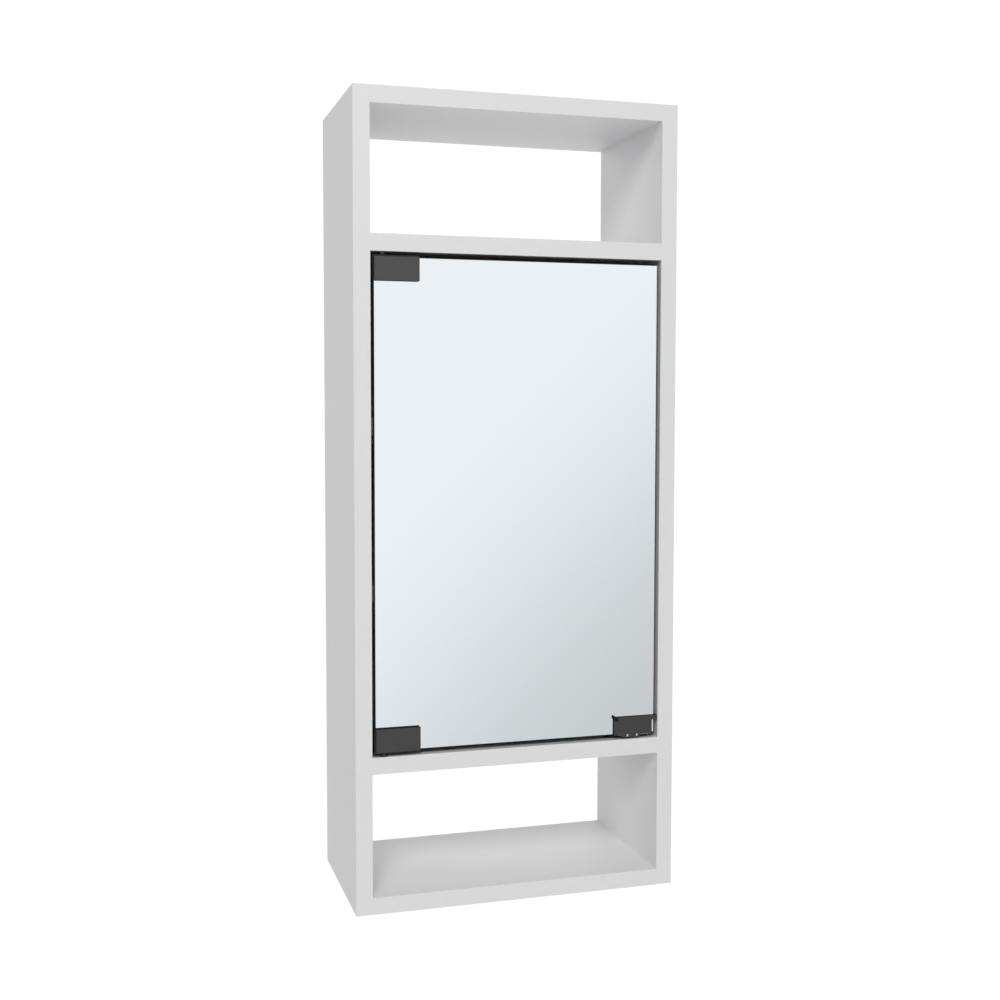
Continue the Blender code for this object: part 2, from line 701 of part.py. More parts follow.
def finger_pull(hinge):
    """Front plate with finger tab, bottom tab and side ear; the steel strike behind; two screws."""
    plate = block(
        "pull_plate",
        (PULL_LEFT, PULL_FRONT, PULL_BOTTOM),
        (PULL_RIGHT, PULL_BACK, PULL_TOP),
        material="black_metal",
        parent=hinge,
    )
    overlap = PULL_THICK / 2
    tab_left = PULL_LEFT + FINGER_TAB_INSET
    add_block(
        plate,
        "pull_finger_tab",
        (tab_left, PULL_FRONT - FINGER_TAB_REACH, PULL_TOP - FINGER_TAB_TALL),
        (tab_left + PULL_THICK, PULL_FRONT + overlap, PULL_TOP),
    )
    add_block(
        plate,
        "pull_bottom_tab",
        (TAB_LEFT, PULL_FRONT, PULL_BOTTOM - TAB_DROP),
        (TAB_LEFT + TAB_WIDTH, PULL_BACK, PULL_BOTTOM + overlap),
    )
    edge = GLASS_SIDE + GAP
    add_block(
        plate,
        "pull_ear",
        (PULL_RIGHT - overlap, PULL_FRONT, PULL_TOP - EAR_TALL),
        (edge + EAR_THICK, PULL_BACK, PULL_TOP),
    )
    add_block(
        plate,
        "pull_ear_return",
        (edge, PULL_BACK - overlap, PULL_TOP - EAR_TALL),
        (edge + EAR_THICK, STRIKE_BACK, PULL_TOP),
    )
    strike = block(
        "strike_plate",
        (TAB_LEFT, STRIKE_FRONT, PULL_BOTTOM - TAB_DROP),
        (PULL_RIGHT, STRIKE_BACK, GLASS_BOTTOM + STRIKE_TALL),
        material="zinc_steel",
        parent=hinge,
    )
    for label, (x, z) in clip_screw_places().items():
        start = (x, PULL_FRONT - CUT_PAST, z)
        through = STRIKE_BACK - PULL_FRONT + 2 * CUT_PAST
        hole = CLIP_SCREW_RADIUS + GAP / 2
        for item in (plate, strike):
            cut_rod(item, f"{item.name}_{label}_hole", start, through, hole, "Y", ROUND_SMALL)
        clip_screw(f"pull_screw_{label}", x, z, hinge)


def clip_screw(name, x, z, hinge):
    tail = -(STRIKE_BACK - PULL_FRONT)
    seat = GAP / 2
    crown = seat + CLIP_SCREW_HEAD
    profile = (
        (0, crown),
        (CLIP_SCREW_FACE_RADIUS, crown - CLIP_SCREW_DOME),
        (CLIP_SCREW_HEAD_RADIUS, seat + CLIP_SCREW_RIM),
        (CLIP_SCREW_HEAD_RADIUS, seat),
        (CLIP_SCREW_RADIUS, seat),
        (CLIP_SCREW_RADIUS, tail),
        (0, tail),
    )
    turned(
        name, profile, (x, PULL_FRONT, z), (math.pi / 2, 0, 0), material="zinc_steel", parent=hinge
    )


def wood_screw(name, seat, rotation):
    """A pan-head wood screw whose seat is at a point and whose head stands along local +Z."""
    profile = (
        (0, WOOD_SCREW_HEAD),
        (WOOD_SCREW_FACE_RADIUS, WOOD_SCREW_HEAD),
        (WOOD_SCREW_HEAD_RADIUS, WOOD_SCREW_RIM),
        (WOOD_SCREW_HEAD_RADIUS, 0),
        (WOOD_SCREW_RADIUS, 0),
        (WOOD_SCREW_RADIUS, WOOD_SCREW_POINT - WOOD_SCREW_LENGTH),
        (0, -WOOD_SCREW_LENGTH),
    )
    turned(name, profile, seat, rotation, material="zinc_steel")


def magnetic_catch():
    """The catch's eared housing, the magnet in its face and two screws into the lower divider."""
    base = COMPARTMENT_FLOOR + GAP
    rear = CATCH_FRONT + CATCH_DEPTH
    x_low, x_high = span(TAB_MIDDLE, CATCH_BLOCK_WIDTH)
    ears = (x_low - CATCH_EAR, x_high + CATCH_EAR)
    housing = block(
        "catch_housing",
        (x_low, CATCH_FRONT, base),
        (x_high, rear, base + CATCH_BLOCK_TALL),
        material="black_metal",
    )
    add_block(
        housing, "catch_ears", (ears[0], CATCH_FRONT, base), (ears[1], rear, base + CATCH_EAR_THICK)
    )
    width, depth, tall = MAGNET_SIZE
    x_low, x_high = span(TAB_MIDDLE, width)
    z_low = base + MAGNET_ABOVE_BASE
    front = CATCH_FRONT - MAGNET_PROUD
    block(
        "catch_magnet",
        (x_low, front, z_low),
        (x_high, front + depth, z_low + tall),
        material="magnet_ferrite",
    )
    cut_block(
        housing,
        "catch_pocket",
        (x_low - GAP, front - CUT_PAST, z_low - GAP),
        (x_high + GAP, front + depth + GAP, z_low + tall + GAP),
    )
    divider = bpy.data.objects["lower_divider"]
    reach = CATCH_BLOCK_WIDTH / 2 + CATCH_EAR / 2
    for side, label in ((-1, "left"), (1, "right")):
        x, y = TAB_MIDDLE + side * reach, CATCH_FRONT + CATCH_DEPTH / 2
        seat = base + CATCH_EAR_THICK + GAP
        hole_start = (x, y, seat + CUT_PAST)
        hole_length = -(CUT_PAST + WOOD_SCREW_LENGTH + GAP)
        hole = WOOD_SCREW_RADIUS + GAP
        for item in (housing, divider):
            cut_rod(item, f"{item.name}_{label}_catch_hole", hole_start, hole_length, hole, "Z", ROUND_SMALL)
        wood_screw(f"catch_screw_{label}", (x, y, seat), (0, 0, 0))


# ---------------------------------------------------------------- hanger plates


def hanger_middle():
    return -HANGER_SCREW_RISE


def hanger_screw_levels():
    return {
        "upper": hanger_middle() + HANGER_SCREW_OFFSET,
        "lower": hanger_middle() - HANGER_SCREW_OFFSET,
    }


def cut_hanger_seat(panel, name, side):
    """The recess for the hanger plate, the deeper pocket for the wall screw's head, pilot holes."""
    x = side * (WIDTH - BOARD) / 2
    x_low, x_high = span(x, HANGER_WIDTH + 2 * GAP)
    z_low, z_high = span(hanger_middle(), HANGER_TALL + 2 * GAP)
    seat = -HANGER_THICK - GAP
    cut_block(panel, f"{name}_hanger_seat", (x_low, seat, z_low), (x_high, CUT_PAST, z_high))
    x_low, x_high = span(x, HEAD_POCKET_WIDTH)
    z_low = -KEYHOLE_DROP - HEAD_POCKET_WIDTH / 2
    z_high = HEAD_POCKET_WIDTH / 2
    cut_block(
        panel,
        f"{name}_head_pocket",
        (x_low, seat - HEAD_POCKET_DEPTH, z_low),
        (x_high, CUT_PAST, z_high),
    )
    for label, z in hanger_screw_levels().items():
        start = (x, CUT_PAST, z)
        reach = -(CUT_PAST + WOOD_SCREW_LENGTH + HANGER_THICK)
        cut_rod(panel, f"{name}_{label}_pilot", start, reach, WOOD_SCREW_RADIUS + GAP, "Y", ROUND_SMALL)


def hanger_plate(label, side):
    """A keyhole plate, flush with the wall plane, and its two countersunk screws."""
    x = side * (WIDTH - BOARD) / 2
    x_low, x_high = span(x, HANGER_WIDTH)
    z_low, z_high = span(hanger_middle(), HANGER_TALL)
    plate = block(
        f"hanger_plate_{label}", (x_low, -HANGER_THICK, z_low), (x_high, 0, z_high), material="zinc_steel"
    )
    start = (x, -HANGER_THICK - CUT_PAST, -KEYHOLE_DROP)
    through = HANGER_THICK + 2 * CUT_PAST
    cut_rod(plate, f"keyhole_entry_{label}", start, through, KEYHOLE_RADIUS, "Y")
    slot_end = (x, start[1], 0)
    cut_rod(plate, f"keyhole_end_{label}", slot_end, through, KEYHOLE_SLOT_RADIUS, "Y", ROUND_SMALL)
    cut_block(
        plate,
        f"keyhole_slot_{label}",
        (x - KEYHOLE_SLOT_RADIUS, -HANGER_THICK - CUT_PAST, -KEYHOLE_DROP),
        (x + KEYHOLE_SLOT_RADIUS, CUT_PAST, 0),
    )
    for level, z in hanger_screw_levels().items():
        sink = countersink(f"hanger_sink_{label}_{level}", (x, 0, z), WOOD_SCREW_HEAD_RADIUS + GAP)
        boolean(plate, sink)
        countersunk_screw(f"hanger_screw_{label}_{level}", (x, 0, z))


def countersink(name, place, radius):
    """The cutter of a countersunk hole through the plate: a cone on a through hole."""
    shank = WOOD_SCREW_RADIUS + GAP
    profile = (
        (0, CUT_PAST),
        (radius, CUT_PAST),
        (radius, 0),
        (shank, -SINK_DEPTH),
        (shank, -HANGER_THICK - CUT_PAST),
        (0, -HANGER_THICK - CUT_PAST),
    )
    return turned(name, profile, place, (-math.pi / 2, 0, 0), collection=CUTTERS)


def countersunk_screw(name, place):
    """A countersunk wood screw, its head just under the wall plane."""
    top = -GAP
    profile = (
        (0, top),
        (WOOD_SCREW_HEAD_RADIUS - GAP, top),
        (WOOD_SCREW_RADIUS, -SINK_DEPTH),
        (WOOD_SCREW_RADIUS, WOOD_SCREW_POINT - WOOD_SCREW_LENGTH),
        (0, -WOOD_SCREW_LENGTH),
    )
    turned(name, profile, place, (-math.pi / 2, 0, 0), material="zinc_steel")


# ---------------------------------------------------------------- assembly


def build():
    side_panel("left_side_panel", -1)
    side_panel("right_side_panel", 1)
    boards = [cross_board(name) for name in BOARD_LEVELS]
    for board in boards:
        if "divider" in board.name:
            groove_divider(board)
    back_panel()
    joint_fittings()
    shelves()

    hinge = bpy.data.objects.new("door_hinge_axis", None)
    hinge.location = (HINGE_X, GLASS_MIDDLE, COMPARTMENT_MIDDLE)
    PARTS.objects.link(hinge)
    bpy.context.view_layer.update()
    mirror_glass(hinge)
    pivot_clamp("upper", 1, hinge)
    pivot_clamp("lower", -1, hinge)
    finger_pull(hinge)
    magnetic_catch()
    hanger_plate("left", -1)
    hanger_plate("right", 1)


build()
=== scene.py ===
import json
import math

import bmesh
import bpy
from mathutils import Euler, Matrix, Vector

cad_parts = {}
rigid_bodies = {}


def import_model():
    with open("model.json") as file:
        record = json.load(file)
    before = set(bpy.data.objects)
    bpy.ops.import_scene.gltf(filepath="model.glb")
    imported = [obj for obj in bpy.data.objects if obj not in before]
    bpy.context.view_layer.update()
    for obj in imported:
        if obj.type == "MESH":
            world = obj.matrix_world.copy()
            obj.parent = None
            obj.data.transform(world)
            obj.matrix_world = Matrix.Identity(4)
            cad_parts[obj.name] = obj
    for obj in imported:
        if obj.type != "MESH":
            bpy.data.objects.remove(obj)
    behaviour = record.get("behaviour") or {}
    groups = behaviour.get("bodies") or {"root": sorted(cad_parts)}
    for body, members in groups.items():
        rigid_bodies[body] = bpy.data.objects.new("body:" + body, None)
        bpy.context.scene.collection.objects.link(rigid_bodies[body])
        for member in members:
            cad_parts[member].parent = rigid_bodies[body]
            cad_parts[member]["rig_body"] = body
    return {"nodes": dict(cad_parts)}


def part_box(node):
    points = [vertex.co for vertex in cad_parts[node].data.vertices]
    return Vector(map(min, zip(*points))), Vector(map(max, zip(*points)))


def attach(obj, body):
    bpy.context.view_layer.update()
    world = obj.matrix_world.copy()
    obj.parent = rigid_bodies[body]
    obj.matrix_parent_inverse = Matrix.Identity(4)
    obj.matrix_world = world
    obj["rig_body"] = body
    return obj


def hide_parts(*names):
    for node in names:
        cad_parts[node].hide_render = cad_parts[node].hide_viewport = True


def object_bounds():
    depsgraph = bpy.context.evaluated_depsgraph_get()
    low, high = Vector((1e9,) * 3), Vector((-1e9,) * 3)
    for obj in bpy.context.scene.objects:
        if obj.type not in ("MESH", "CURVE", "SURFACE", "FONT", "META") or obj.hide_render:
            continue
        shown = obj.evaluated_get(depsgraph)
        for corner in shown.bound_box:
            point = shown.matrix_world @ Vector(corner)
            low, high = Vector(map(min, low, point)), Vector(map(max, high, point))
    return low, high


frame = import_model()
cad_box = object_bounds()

MM = 0.001

# ---------------------------------------------------------------- shapes

EDGE_ROUND = 0.4 * MM  # rounded arris of the boards' edging
EDGING = 1 * MM  # thickness of the plastic edging on the boards
CONTACT = 0.02 * MM  # what stays open between two boards that butt
NEAR = 0.05 * MM  # a face closer than this to a plane lies on it

PLATE_ROUND = 0.25 * MM  # broken edges of the pull's plate
HOUSING_ROUND = 0.4 * MM  # broken edges of the catch's moulded housing
BROKEN_EDGE = 0.12 * MM  # broken edges of the small fittings
GLASS_ARRIS = 0.9 * MM  # ground chamfer round the mirror
POLE_PLATE = 1.2 * MM  # steel plates above and below the catch's magnet
FERRITE_SETBACK = 0.35 * MM

WELD = 0.001 * MM  # corners closer than this are one corner
LEVEL = math.radians(1)  # faces that turn less than this are one face
SHARP = math.radians(30)  # an edge that turns more than this gets broken
SMOOTH = math.radians(46)  # shading runs on over an edge that turns less than this
SQUARE = 0.99  # least cosine between an axis and the normal of a face that lies across it

# Screws. crown gives the head from the rim of the driver recess to its widest, as shares of its radius
# and heights; point is the length of the tip's taper; recess is a cross's half length, half width and depth.
PULL_SCREW = {
    "crown": ((0.72, 0), (0.92, -0.12 * MM), (1, -0.3 * MM)),
    "head_height": 0.7 * MM,
    "shank": 0.5 * MM,
    "point": 0,
    "countersunk": False,
    "recess": (0.4 * MM, 0.13 * MM, 0.25 * MM),
}
CATCH_SCREW = {
    "crown": ((0.66, 0), (0.86, -0.25 * MM), (1, -0.75 * MM)),
    "head_height": 1.4 * MM,
    "shank": 1.4 * MM,
    "point": 2.8 * MM,
    "countersunk": False,
    "recess": (1.5 * MM, 0.45 * MM, 0.9 * MM),
}
HANGER_SCREW = {
    "crown": ((0.96, 0), (1, -0.08 * MM)),
    "head_height": 1.2 * MM,
    "shank": 1.4 * MM,
    "point": 2.8 * MM,
    "countersunk": True,
    "recess": (1.35 * MM, 0.42 * MM, 0.8 * MM),
}
GRUB_TOP = ((0.86, 0), (1, -0.25 * MM))  # share of the radius, height from the top
GRUB_FOOT = ((1, 0.3 * MM), (0.8, 0))  # share of the radius, height from the foot
GRUB_SOCKET_RADIUS = 1.3 * MM  # to the hexagon's corners
GRUB_SOCKET_DEPTH = 1.2 * MM
RECESS_DRAFT = 0.6  # size of a driver recess's floor, to that of its mouth
SCREW_SIDES = 48

# ---------------------------------------------------------------- stage

FLOOR_DROP = 1.3  # from the cabinet's underside to the floor
FLOOR_RADIUS = 2.4
FLOOR_SIDES = 96
FLOOR_GLOW = 0.43  # keeps the floor as pale as the backdrop

# The world's shades: a direction, where along it the shade starts and ends, and the strength at both.
WORLD_SHADES = (
    ((-1.06, 0, 1), (-0.68, -0.30), (0.62, 0.93)),  # lower right, which the mirror shows as its grey fade
    ((-1, 0, 0), (0.25, 0.75), (1, 0.12)),  # left
    ((1, 0, 0), (0.5, 0.85), (1, 0.45)),  # right
    ((0, 0, 1), (0.3, 0.8), (1, 0.45)),  # overhead
    ((0, 0, 1), (-0.5, -0.27), (0.3, 1)),  # below
)
BACKDROP = ((0, 1, 0), (0.3, 0.7), (0, 1.03))  # the white behind the cabinet, given the same way

KEY_PLACE = (-0.9, -2.5, 1.6)
KEY_SIZE = 1.2
KEY_POWER = 46
KICKER_PLACE = (-1.9, 1.3, 0.1)
KICKER_SIZE = 1.2
KICKER_POWER = 7.5
LIGHT_AIM = (0, -0.1, -0.22)

CAMERA_PLACE = (-0.3612, -1.2526, -0.1421)
CAMERA_YAW = 15.876  # degrees to the right of straight on
CAMERA_PITCH = -3.297
CAMERA_LENS = 46.88
CAMERA_SENSOR = 36
CAMERA_SHIFT = (0.0314, -0.0168)
CAMERA_CLIP = (0.05, 50)

# ---------------------------------------------------------------- node helpers

MID_SPAN = (0.35, 0.65)  # the middle of a noise's values
WIDE_SPAN = (0.3, 0.7)  # nearly all of a noise's values


def new_material(name):
    """A node material, its tree and its Principled shader."""
    material = bpy.data.materials.new(name)
    material.use_nodes = True
    tree = material.node_tree
    return material, tree, tree.nodes["Principled BSDF"]


def add_node(tree, kind, inputs=(), **settings):
    """Adds a node; each input is (socket, constant or another node's output)."""
    node = tree.nodes.new(kind)
    for key, value in settings.items():
        setattr(node, key, value)
    for key, value in inputs:
        if isinstance(value, bpy.types.NodeSocket):
            tree.links.new(value, node.inputs[key])
        else:
            node.inputs[key].default_value = value
    return node


def place_vector(tree):
    """The point on the piece, in the cabinet's own frame, which stays with the piece as it moves."""
    return add_node(tree, "ShaderNodeTexCoord").outputs["Object"]


def stretched(tree, scale):
    """The same point, scaled axis by axis to draw a noise out."""
    return add_node(tree, "ShaderNodeMapping", [("Vector", place_vector(tree)), ("Scale", scale)]).outputs[0]


def noise(tree, scale, detail=2.0, roughness=0.5, vector=None):
    """Noise whose cells are 1/scale metres across."""
    inputs = [
        ("Vector", vector or place_vector(tree)),
        ("Scale", scale),
        ("Detail", detail),
        ("Roughness", roughness),
    ]
    return add_node(tree, "ShaderNodeTexNoise", inputs).outputs["Fac"]


def remap(tree, value, source, target, smooth=False):
    """Maps the span source of a value to the span target."""
    inputs = [
        ("Value", value),
        ("From Min", source[0]),
        ("From Max", source[1]),
        ("To Min", target[0]),
        ("To Max", target[1]),
    ]
    kind = "SMOOTHSTEP" if smooth else "LINEAR"
    return add_node(tree, "ShaderNodeMapRange", inputs, interpolation_type=kind).outputs["Result"]


def arithmetic(tree, operation, a, b):
    return add_node(tree, "ShaderNodeMath", [(0, a), (1, b)], operation=operation).outputs[0]


def blend_colour(tree, factor, a, b, mode="MIX"):
    """Mixes two colours, each a triple or another node's output."""
    node = add_node(tree, "ShaderNodeMix", data_type="RGBA", blend_type=mode)
    for socket, value in ((0, factor), (6, a), (7, b)):
        if isinstance(value, bpy.types.NodeSocket):
            tree.links.new(value, node.inputs[socket])
        elif isinstance(value, tuple):
            node.inputs[socket].default_value = (*value, 1)
        else:
            node.inputs[socket].default_value = value
    return node.outputs[2]


def times(colour, share):
    """A colour made darker or lighter."""
    return tuple(channel * share for channel in colour)


def bump(tree, shader, height, distance):
    node = add_node(tree, "ShaderNodeBump", [("Height", height), ("Distance", distance), ("Strength", 1)])
    tree.links.new(node.outputs["Normal"], shader.inputs["Normal"])


def shade_by(tree, shader, colour, grain, roughness, span=WIDE_SPAN):
    """Links a colour, and a roughness that follows the grain between two values."""
    tree.links.new(colour, shader.inputs["Base Color"])
    tree.links.new(remap(tree, grain, span, roughness), shader.inputs["Roughness"])


# ---------------------------------------------------------------- materials


def melamine(name, tone):
    """Melamine paper pressed on board: a fine pearl grain that breaks the gloss, and a faint wide cloud."""
    material, tree, shader = new_material(name)
    cloud = noise(tree, scale=7, detail=3)
    grain = noise(tree, scale=1300, detail=3, roughness=0.6)
    cool = (0.985, 0.985, 1.0)
    colour = blend_colour(tree, remap(tree, grain, MID_SPAN, (0, 1)), times(tone, 0.965), tone)
    colour = blend_colour(tree, remap(tree, cloud, WIDE_SPAN, (0, 0.35)), colour, cool, "MULTIPLY")
    shade_by(tree, shader, colour, grain, roughness=(0.42, 0.54))
    bump(tree, shader, grain, distance=0.02 * MM)
    shader.inputs["Specular IOR Level"].default_value = 0.4
    return material


def edging(name, tone):
    """Plastic edging: the boards' colour, smoother, with faint upright lines."""
    material, tree, shader = new_material(name)
    grain = noise(tree, scale=700)
    drawn = noise(tree, scale=1600, vector=stretched(tree, (1, 1, 0.05)))
    colour = blend_colour(tree, remap(tree, drawn, WIDE_SPAN, (0, 1)), times(tone, 0.975), tone)
    shade_by(tree, shader, colour, grain, roughness=(0.34, 0.44))
    bump(tree, shader, drawn, distance=0.008 * MM)
    shader.inputs["Specular IOR Level"].default_value = 0.4
    return material


def chipboard(name):
    """The boards' core where it is bored or grooved: pressed chips of pale wood."""
    material, tree, shader = new_material(name)
    chips = add_node(
        tree, "ShaderNodeTexVoronoi", [("Vector", place_vector(tree)), ("Scale", 900)], feature="F1"
    )
    fibre = noise(tree, scale=2400, detail=4, roughness=0.7)
    pale, dark, gap = (0.58, 0.44, 0.28), (0.42, 0.29, 0.17), (0.30, 0.20, 0.11)
    colour = blend_colour(tree, chips.outputs["Color"], dark, pale)
    colour = blend_colour(tree, remap(tree, fibre, WIDE_SPAN, (0, 0.6)), colour, gap)
    shade_by(tree, shader, colour, fibre, roughness=(0.75, 0.95), span=(0, 1))
    bump(tree, shader, fibre, distance=0.2 * MM)
    return material


def hardboard(name, tone):
    """The back panel's lacquered face, with the faint fibre of hardboard under it."""
    material, tree, shader = new_material(name)
    fibre = noise(tree, scale=420, detail=5, roughness=0.65)
    colour = blend_colour(tree, remap(tree, fibre, MID_SPAN, (0, 1)), times(tone, 0.95), tone)
    shade_by(tree, shader, colour, fibre, roughness=(0.5, 0.65))
    bump(tree, shader, fibre, distance=0.05 * MM)
    return material


def mirror_silver(name):
    """The silvered face seen through clear glass: near-perfect reflection, slightly cool."""
    material, tree, shader = new_material(name)
    film = noise(tree, scale=22, detail=4, roughness=0.6)
    colour = blend_colour(tree, film, (0.885, 0.937, 0.975), (0.895, 0.943, 0.979))
    shade_by(tree, shader, colour, film, roughness=(0.012, 0.022))
    shader.inputs["Metallic"].default_value = 1
    return material


def coated(name, tone, roughness, metallic):
    """Black coating with fine orange peel, on metal or, with metallic 0, the grain of moulded plastic."""
    material, tree, shader = new_material(name)
    peel = noise(tree, scale=1500, detail=3, roughness=0.55)
    cloud = noise(tree, scale=60)
    dulled = (0.92, 0.92, 0.92)
    colour = blend_colour(tree, remap(tree, peel, MID_SPAN, (0, 1)), tone, times(tone, 1.15))
    colour = blend_colour(tree, remap(tree, cloud, WIDE_SPAN, (0, 0.3)), colour, dulled, "MULTIPLY")
    shade_by(tree, shader, colour, peel, roughness)
    bump(tree, shader, peel, distance=0.008 * MM)
    shader.inputs["Metallic"].default_value = metallic
    shader.inputs["Specular Tint"].default_value = (0.1, 0.1, 0.1, 1)
    return material


def zinc_plate(name):
    """Bright zinc plating with a fine brushed grain and faint stains."""
    material, tree, shader = new_material(name)
    grain = noise(tree, scale=2600, detail=3, roughness=0.6, vector=stretched(tree, (1, 1, 0.15)))
    stain = noise(tree, scale=180, detail=3)
    dull, bright = (0.60, 0.60, 0.59), (0.72, 0.73, 0.74)
    colour = blend_colour(tree, remap(tree, stain, WIDE_SPAN, (0, 1)), dull, bright)
    shade_by(tree, shader, colour, grain, roughness=(0.22, 0.38))
    bump(tree, shader, grain, distance=0.006 * MM)
    shader.inputs["Metallic"].default_value = 1
    return material


def grained(name, scale, colours, roughness, height, detail=2.0, breakup=0.5, metallic=0.0, specular=0.5):
    """A material that one fine noise varies in colour, roughness and height."""
    material, tree, shader = new_material(name)
    grain = noise(tree, scale, detail, breakup)
    shade_by(tree, shader, blend_colour(tree, grain, *colours), grain, roughness)
    bump(tree, shader, grain, distance=height)
    shader.inputs["Metallic"].default_value = metallic
    shader.inputs["Specular IOR Level"].default_value = specular
    return material


BOARD_WHITE = (0.745, 0.745, 0.75)
MELAMINE = melamine("white_melamine", BOARD_WHITE)
EDGING_PLASTIC = edging("white_edging", BOARD_WHITE)
CORE = chipboard("chipboard_core")
BACKING = hardboard("back_panel_lacquer", (0.73, 0.73, 0.725))
SILVER = mirror_silver("mirror_silver")
BLACK = coated("black_coated_metal", (0.084, 0.084, 0.085), roughness=(0.39, 0.45), metallic=1)
CATCH_PLASTIC = coated("black_catch_plastic", (0.03, 0.03, 0.031), roughness=(0.47, 0.53), metallic=0)
ZINC = zinc_plate("zinc_plated_steel")
GLASS_EDGE = grained(
    "mirror_ground_edge",
    scale=2600,
    colours=((0.010, 0.016, 0.015), (0.022, 0.034, 0.031)),
    roughness=(0.22, 0.4),
    height=0.01 * MM,
    specular=0.12,
)
MIRROR_BACK = grained(
    "mirror_backing_paint",
    scale=260,
    colours=((0.66, 0.675, 0.685), (0.72, 0.735, 0.745)),
    roughness=(0.45, 0.6),
    height=0.03 * MM,
)
RUBBER = grained(
    "pad_rubber",
    scale=1800,
    colours=((0.014, 0.014, 0.015), (0.028, 0.028, 0.028)),
    roughness=(0.6, 0.8),
    height=0.02 * MM,
    detail=3,
)
NYLON = grained(
    "bush_nylon",
    scale=900,
    colours=((0.018, 0.018, 0.019), (0.032, 0.032, 0.034)),
    roughness=(0.38, 0.5),
    height=0.01 * MM,
)
FERRITE = grained(
    "magnet_ferrite",
    scale=1400,
    colours=((0.035, 0.035, 0.038), (0.085, 0.085, 0.09)),
    roughness=(0.45, 0.65),
    height=0.03 * MM,
    detail=4,
    breakup=0.7,
    metallic=0.3,
)

# ---------------------------------------------------------------- mesh helpers


def node_form(node):
    """A CAD node's surface as an editable copy: corners welded, flat faces made whole."""
    form = bmesh.new()
    form.from_mesh(frame["nodes"][node].data)
    bmesh.ops.remove_doubles(form, verts=form.verts, dist=WELD)
    bmesh.ops.dissolve_limit(
        form, angle_limit=LEVEL, verts=form.verts, edges=form.edges, use_dissolve_boundaries=False
    )
    return form


def is_sharp(edge):
    return len(edge.link_faces) == 2 and edge.calc_face_angle(0) > SHARP


def round_edges(form, edges, width, segments=2):
    """Rounds edges; one segment gives a chamfer."""
    bmesh.ops.bevel(
        form,
        geom=edges,
        offset=width,
        offset_type="OFFSET",
        segments=segments,
        profile=0.5,
        affect="EDGES",
        clamp_overlap=True,
    )


def add_box(form, low, high, material=0):
    """Adds a box between two corners, with that material number."""
    corners = bmesh.ops.create_cube(form, size=1)["verts"]
    bmesh.ops.scale(form, vec=high - low, verts=corners)
    bmesh.ops.translate(form, vec=(low + high) / 2, verts=corners)
    for face in {face for corner in corners for face in corner.link_faces}:
        face.material_index = material


def piece(name, form, materials, stands_for, flat=False):
    """Makes the object from its form; it rides on the body of the CAD node that it stands for.

    A piece made with flat is shaded flat, so that its broken edges don't bend their light.
    """
    bmesh.ops.recalc_face_normals(form, faces=form.faces)
    mesh = bpy.data.meshes.new(name)
    form.to_mesh(mesh)
    form.free()
    for material in materials:
        mesh.materials.append(material)
    item = bpy.data.objects.new(name, mesh)
    bpy.context.scene.collection.objects.link(item)
    if not flat:
        mesh.shade_smooth()
        mesh.set_sharp_from_angle(angle=SMOOTH)
        normals = item.modifiers.new("even_normals", "WEIGHTED_NORMAL")
        normals.keep_sharp = True
    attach(item, frame["nodes"][stands_for]["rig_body"])
    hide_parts(stands_for)


# ---------------------------------------------------------------- boards

CROSS_BOARDS = ("top_panel", "upper_divider", "lower_divider", "bottom_panel")
SIDES = ("left_side_panel", "right_side_panel")
SHELVES = ("lower_shelf", "upper_shelf")
BOARD_MATERIALS = (MELAMINE, EDGING_PLASTIC, CORE)
FACE, BAND, BORED = range(3)  # their numbers


def outer_edges(form, low, high):
    """The edges where two faces of the board's own box meet."""
    planes = [(axis, level[axis]) for axis in range(3) for level in (low, high)]

    def box_faces(edge):
        return sum(
            all(abs(vertex.co[axis] - level) < NEAR for vertex in edge.verts) for axis, level in planes
        )

    return [edge for edge in form.edges if is_sharp(edge) and box_faces(edge) >= 2]


def butts(node, edge):
    """Whether an edge of a carcass board runs along a line where two boards meet."""
    if node in CROSS_BOARDS:
        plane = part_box("right_side_panel")[0].x - CONTACT
    elif node in SIDES:
        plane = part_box("right_side_panel")[0].x
    else:
        return False
    return all(abs(abs(vertex.co.x) - plane) < NEAR for vertex in edge.verts)


def stretch_to_sides(form, low, high):
    """Carries a cross board's two ends, and the corners of its box, out to the side panels."""
    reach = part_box("right_side_panel")[0].x - CONTACT
    for vertex in form.verts:
        if abs(abs(vertex.co.x) - high.x) < NEAR:
            vertex.co.x = math.copysign(reach, vertex.co.x)
    low.x, high.x = -reach, reach


def cut_edging_line(form, low):
    """Splits the faces where the edging on the front edge ends."""
    bmesh.ops.bisect_plane(
        form,
        geom=[*form.verts, *form.edges, *form.faces],
        plane_co=(0, low.y + EDGING, 0),
        plane_no=(0, 1, 0),
        dist=WELD,
    )


def board(node, banded_axes):
    """A board with rounded edging. banded_axes are the axes whose two end faces carry edging."""
    low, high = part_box(node)
    form = node_form(node)
    if node in CROSS_BOARDS:
        stretch_to_sides(form, low, high)
    edges = [edge for edge in outer_edges(form, low, high) if not butts(node, edge)]
    round_edges(form, edges, EDGE_ROUND)
    cut_edging_line(form, low)
    form.normal_update()
    for face in form.faces:
        middle = face.calc_center_median()
        inset = [min(middle[axis] - low[axis], high[axis] - middle[axis]) for axis in range(3)]
        outside = min(inset) < NEAR
        if min(inset[axis] for axis in banded_axes) < EDGE_ROUND:
            face.material_index = BAND
        elif outside and middle.y - low.y < EDGING:
            face.material_index = BAND
        else:
            face.material_index = FACE if outside else BORED
    piece(f"{node}_board", form, BOARD_MATERIALS, node, flat=True)


for name in CROSS_BOARDS:
    board(name, (1,))
for name in SIDES:
    board(name, (1, 2))
for name in SHELVES:
    board(name, (0, 1))

# ---------------------------------------------------------------- mirror

